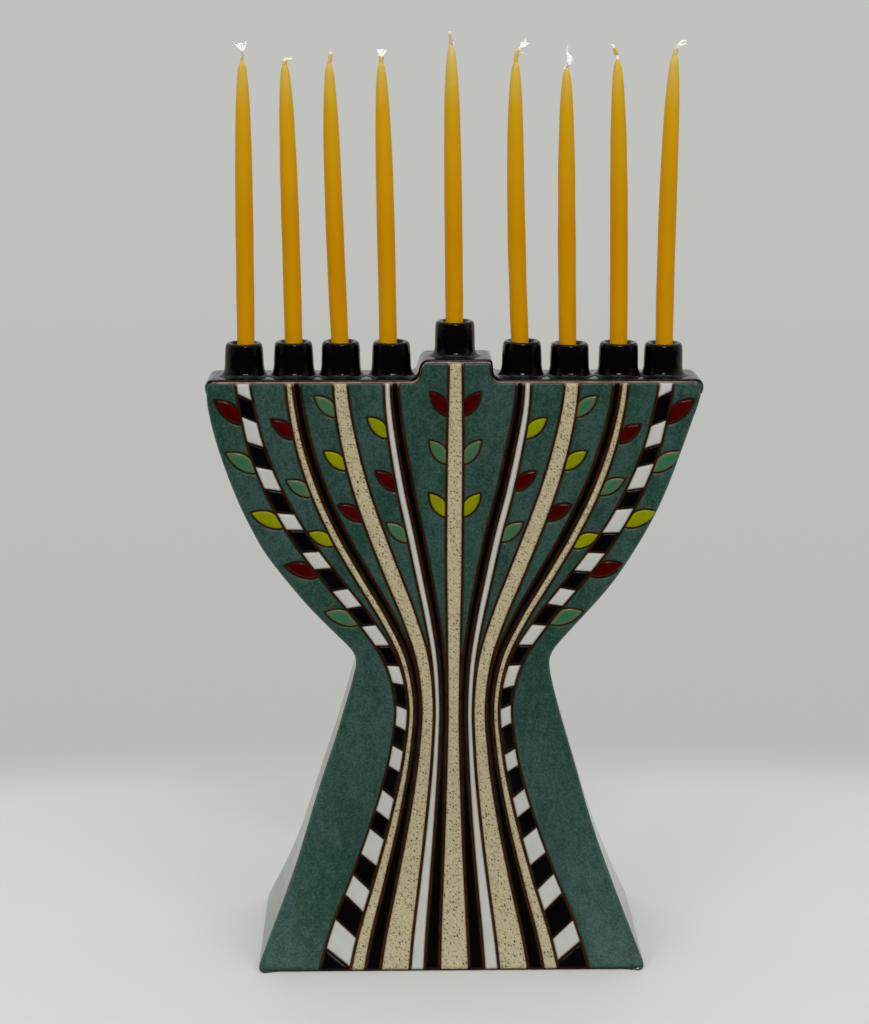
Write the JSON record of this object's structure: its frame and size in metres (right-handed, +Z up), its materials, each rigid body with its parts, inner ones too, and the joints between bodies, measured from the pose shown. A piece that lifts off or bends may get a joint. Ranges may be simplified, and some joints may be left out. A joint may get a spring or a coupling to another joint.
{
  "type": "menorah",
  "caption": "Hollow hourglass ceramic candelabrum: a flared foot, a narrow waist and a wide top deck with a raised centre step, candle cups and slender dipped candles.",
  "frame": {"origin": "middle of the foot, on the surface that the menorah stands on", "axes": "+Z up, +X to the viewer's right along the row of candles, +Y from the decorated front to the back"},
  "size_m": [0.2247, 0.087, 0.4316],
  "materials": {
    "green_glaze": "semi-gloss mottled green glaze",
    "black_glaze": "glossy black glaze",
    "beeswax": "waxy honey yellow",
    "cotton": "soft white cotton"
  },
  "bodies": {
    "ceramic": {"front_panel": "green_glaze", "back_panel": "green_glaze", "left_side_wall": "green_glaze", "right_side_wall": "green_glaze", "left_deck": "black_glaze", "right_deck": "black_glaze", "centre_platform": "black_glaze", "candle_cup_1": "black_glaze", "candle_cup_2": "black_glaze", "candle_cup_3": "black_glaze", "candle_cup_4": "black_glaze", "candle_cup_5": "black_glaze", "candle_cup_6": "black_glaze", "candle_cup_7": "black_glaze", "candle_cup_8": "black_glaze", "candle_cup_9": "black_glaze"},
    "candle_1": {"candle_1": "beeswax", "wick_1": "cotton"},
    "candle_2": {"candle_2": "beeswax", "wick_2": "cotton"},
    "candle_3": {"candle_3": "beeswax", "wick_3": "cotton"},
    "candle_4": {"candle_4": "beeswax", "wick_4": "cotton"},
    "candle_5": {"candle_5": "beeswax", "wick_5": "cotton"},
    "candle_6": {"candle_6": "beeswax", "wick_6": "cotton"},
    "candle_7": {"candle_7": "beeswax", "wick_7": "cotton"},
    "candle_8": {"candle_8": "beeswax", "wick_8": "cotton"},
    "candle_9": {"candle_9": "beeswax", "wick_9": "cotton"}
  },
  "joints": [
    {"name": "candle_1_lift", "type": "slide", "parent": "ceramic", "child": "candle_1", "axis": [0, 0, 1], "range_m": [0, 0.03]},
    {"name": "candle_2_lift", "type": "slide", "parent": "ceramic", "child": "candle_2", "axis": [0, 0, 1], "range_m": [0, 0.03]},
    {"name": "candle_3_lift", "type": "slide", "parent": "ceramic", "child": "candle_3", "axis": [0, 0, 1], "range_m": [0, 0.03]},
    {"name": "candle_4_lift", "type": "slide", "parent": "ceramic", "child": "candle_4", "axis": [0, 0, 1], "range_m": [0, 0.03]},
    {"name": "candle_5_lift", "type": "slide", "parent": "ceramic", "child": "candle_5", "axis": [0, 0, 1], "range_m": [0, 0.03]},
    {"name": "candle_6_lift", "type": "slide", "parent": "ceramic", "child": "candle_6", "axis": [0, 0, 1], "range_m": [0, 0.03]},
    {"name": "candle_7_lift", "type": "slide", "parent": "ceramic", "child": "candle_7", "axis": [0, 0, 1], "range_m": [0, 0.03]},
    {"name": "candle_8_lift", "type": "slide", "parent": "ceramic", "child": "candle_8", "axis": [0, 0, 1], "range_m": [0, 0.03]},
    {"name": "candle_9_lift", "type": "slide", "parent": "ceramic", "child": "candle_9", "axis": [0, 0, 1], "range_m": [0, 0.03]}
  ]
}
